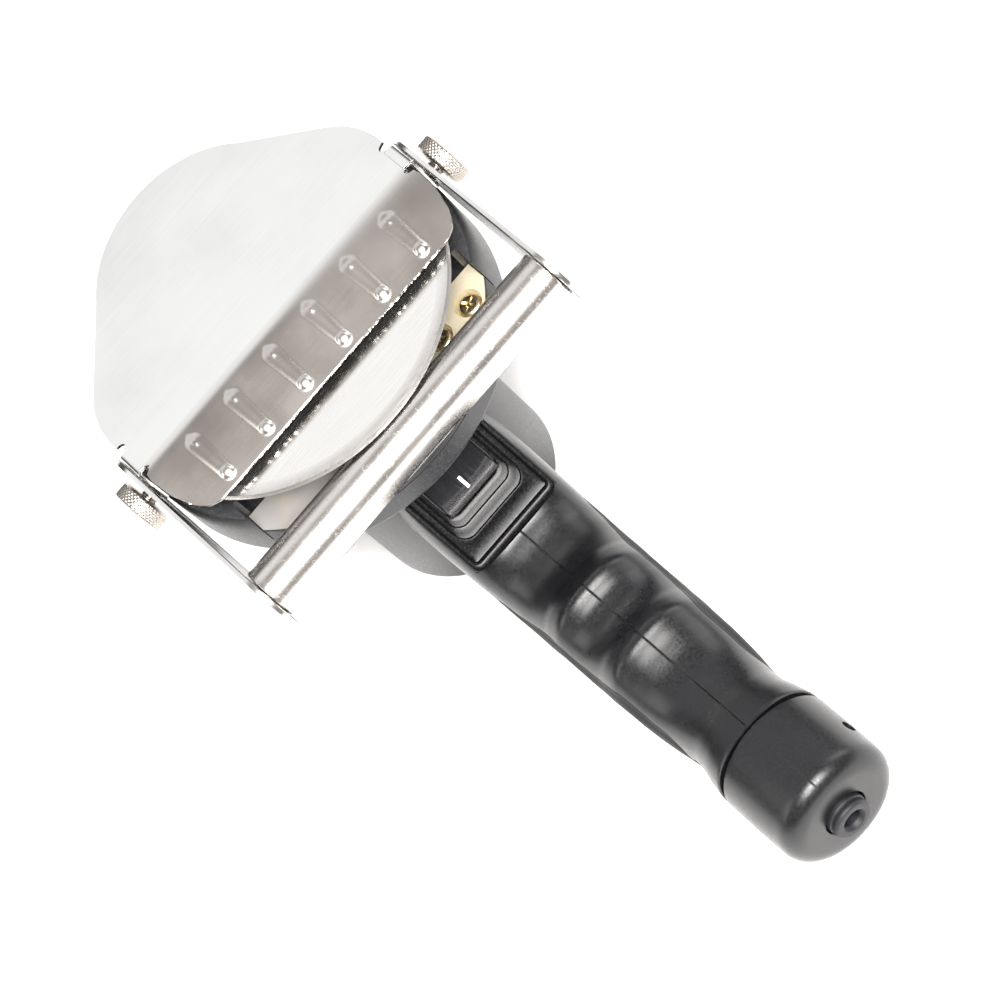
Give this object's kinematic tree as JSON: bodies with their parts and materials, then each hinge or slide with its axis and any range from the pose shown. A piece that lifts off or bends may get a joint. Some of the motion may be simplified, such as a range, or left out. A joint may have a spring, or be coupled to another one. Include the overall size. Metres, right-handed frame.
{
  "type": "electric kebab slicer",
  "caption": "Hand-held electric kebab slicer: round blade in a guarded gear head on a motor barrel, with an adjustable ribbed guide plate and a pistol grip.",
  "frame": {"origin": "bottom centre of the tool's box, on the plane that the motor barrel's rear face lies on", "axes": "+Z along the blade's axis, out of its cutting face; the grip points to -Y; X runs along the guard tube and is the tool's left-right mirror direction"},
  "size_m": [0.1192, 0.2316, 0.099],
  "materials": {
    "guide_plate": "polished stainless sheet",
    "thumb_screw_right": "nickel plated, knurled",
    "thumb_screw_left": "nickel plated, knurled",
    "guard_arm_right": "stainless sheet",
    "guard_arm_left": "stainless sheet",
    "guard_tube": "satin drawn tube",
    "tube_plug_right": "nylon",
    "tube_plug_left": "nylon",
    "tube_screw_right": "plain steel",
    "tube_screw_left": "plain steel",
    "arm_screw_1_right": "plain steel",
    "arm_screw_1_left": "plain steel",
    "arm_screw_2_right": "plain steel",
    "arm_screw_2_left": "plain steel",
    "blade": "ground and polished",
    "blade_hub": "plain steel",
    "blade_washer": "plain steel",
    "blade_nut": "plain steel",
    "spindle": "plain steel",
    "drive_gear": "machined",
    "gear_head": "black coated casting",
    "mount_pad": "machined face",
    "pad_screw_1": "yellow passivated",
    "pad_screw_2": "yellow passivated",
    "bearing_lid": "black coated casting",
    "front_bearing": "plain steel",
    "rear_bearing": "plain steel",
    "seal_ring": "soft black",
    "motor_shaft": "plain steel",
    "pinion": "plain steel",
    "armature": "stacked laminations",
    "commutator": "copper",
    "fan": "nylon",
    "nose_bearing": "plain steel",
    "tail_bearing": "plain steel",
    "stator": "stacked laminations",
    "field_coil_right": "copper",
    "brush_holder_right": "resin",
    "brush_right": "carbon",
    "field_coil_left": "copper",
    "brush_holder_left": "resin",
    "brush_left": "carbon",
    "grip_shell_right": "fine textured moulding",
    "grip_shell_left": "fine textured moulding",
    "grip_pad_right": "ribbed grip",
    "grip_pad_left": "ribbed grip",
    "shell_screw_1": "plain steel",
    "shell_screw_2": "plain steel",
    "shell_screw_3": "plain steel",
    "shell_screw_4": "plain steel",
    "switch_bezel": "moulded",
    "rocker": "gloss",
    "switch_body": "resin",
    "control_board": "board",
    "cord_clamp": "resin",
    "end_cap": "fine textured moulding",
    "cable_gland": "soft black"
  },
  "bodies": {
    "frame": {"guard_arm_right": "guard_arm_right", "guard_arm_left": "guard_arm_left", "guard_tube": "guard_tube", "tube_plug_right": "tube_plug_right", "tube_plug_left": "tube_plug_left", "tube_screw_right": "tube_screw_right", "tube_screw_left": "tube_screw_left", "arm_screw_1_right": "arm_screw_1_right", "arm_screw_1_left": "arm_screw_1_left", "arm_screw_2_right": "arm_screw_2_right", "arm_screw_2_left": "arm_screw_2_left", "gear_head": "gear_head", "mount_pad": "mount_pad", "pad_screw_1": "pad_screw_1", "pad_screw_2": "pad_screw_2", "bearing_lid": "bearing_lid", "front_bearing": "front_bearing", "rear_bearing": "rear_bearing", "seal_ring": "seal_ring", "nose_bearing": "nose_bearing", "tail_bearing": "tail_bearing", "stator": "stator", "field_coil_right": "field_coil_right", "brush_holder_right": "brush_holder_right", "brush_right": "brush_right", "field_coil_left": "field_coil_left", "brush_holder_left": "brush_holder_left", "brush_left": "brush_left", "grip_shell_right": "grip_shell_right", "grip_shell_left": "grip_shell_left", "grip_pad_right": "grip_pad_right", "grip_pad_left": "grip_pad_left", "shell_screw_1": "shell_screw_1", "shell_screw_2": "shell_screw_2", "shell_screw_3": "shell_screw_3", "shell_screw_4": "shell_screw_4", "switch_bezel": "switch_bezel", "switch_body": "switch_body", "control_board": "control_board", "cord_clamp": "cord_clamp", "end_cap": "end_cap", "cable_gland": "cable_gland"},
    "blade_rotor": {"blade": "blade", "blade_hub": "blade_hub", "blade_washer": "blade_washer", "blade_nut": "blade_nut", "spindle": "spindle", "drive_gear": "drive_gear"},
    "motor_rotor": {"motor_shaft": "motor_shaft", "pinion": "pinion", "armature": "armature", "commutator": "commutator", "fan": "fan"},
    "guide": {"guide_plate": "guide_plate"},
    "thumb_right": {"thumb_screw_right": "thumb_screw_right"},
    "thumb_left": {"thumb_screw_left": "thumb_screw_left"},
    "rocker_key": {"rocker": "rocker"}
  },
  "joints": [
    {"name": "blade_spin", "type": "hinge", "parent": "frame", "child": "blade_rotor", "pos_m": [0, 0.0638, 0.09], "axis": [0, 0, 1], "continuous": true},
    {"name": "motor_spin", "type": "hinge", "parent": "frame", "child": "motor_rotor", "pos_m": [0, 0.0488, 0.04], "axis": [0, 0, 1], "continuous": true},
    {"name": "thickness_slide", "type": "slide", "parent": "frame", "child": "guide", "axis": [0, 0, 1], "range_m": [-0.0012, 0.005]},
    {"name": "thumb_screw_turn_right", "type": "hinge", "parent": "guide", "child": "thumb_right", "pos_m": [0.055, 0.0583, 0.0855], "axis": [1, 0, 0], "continuous": true},
    {"name": "thumb_screw_turn_left", "type": "hinge", "parent": "guide", "child": "thumb_left", "pos_m": [-0.055, 0.0583, 0.0855], "axis": [1, 0, 0], "continuous": true},
    {"name": "rocker_tilt", "type": "hinge", "parent": "frame", "child": "rocker_key", "pos_m": [0, 0.01714, 0.04842], "axis": [1, 0, 0], "range_deg": [0, 12]}
  ],
  "couplings": [
    {"joint": "motor_spin", "follows": "blade_spin", "ratio": -3}
  ]
}
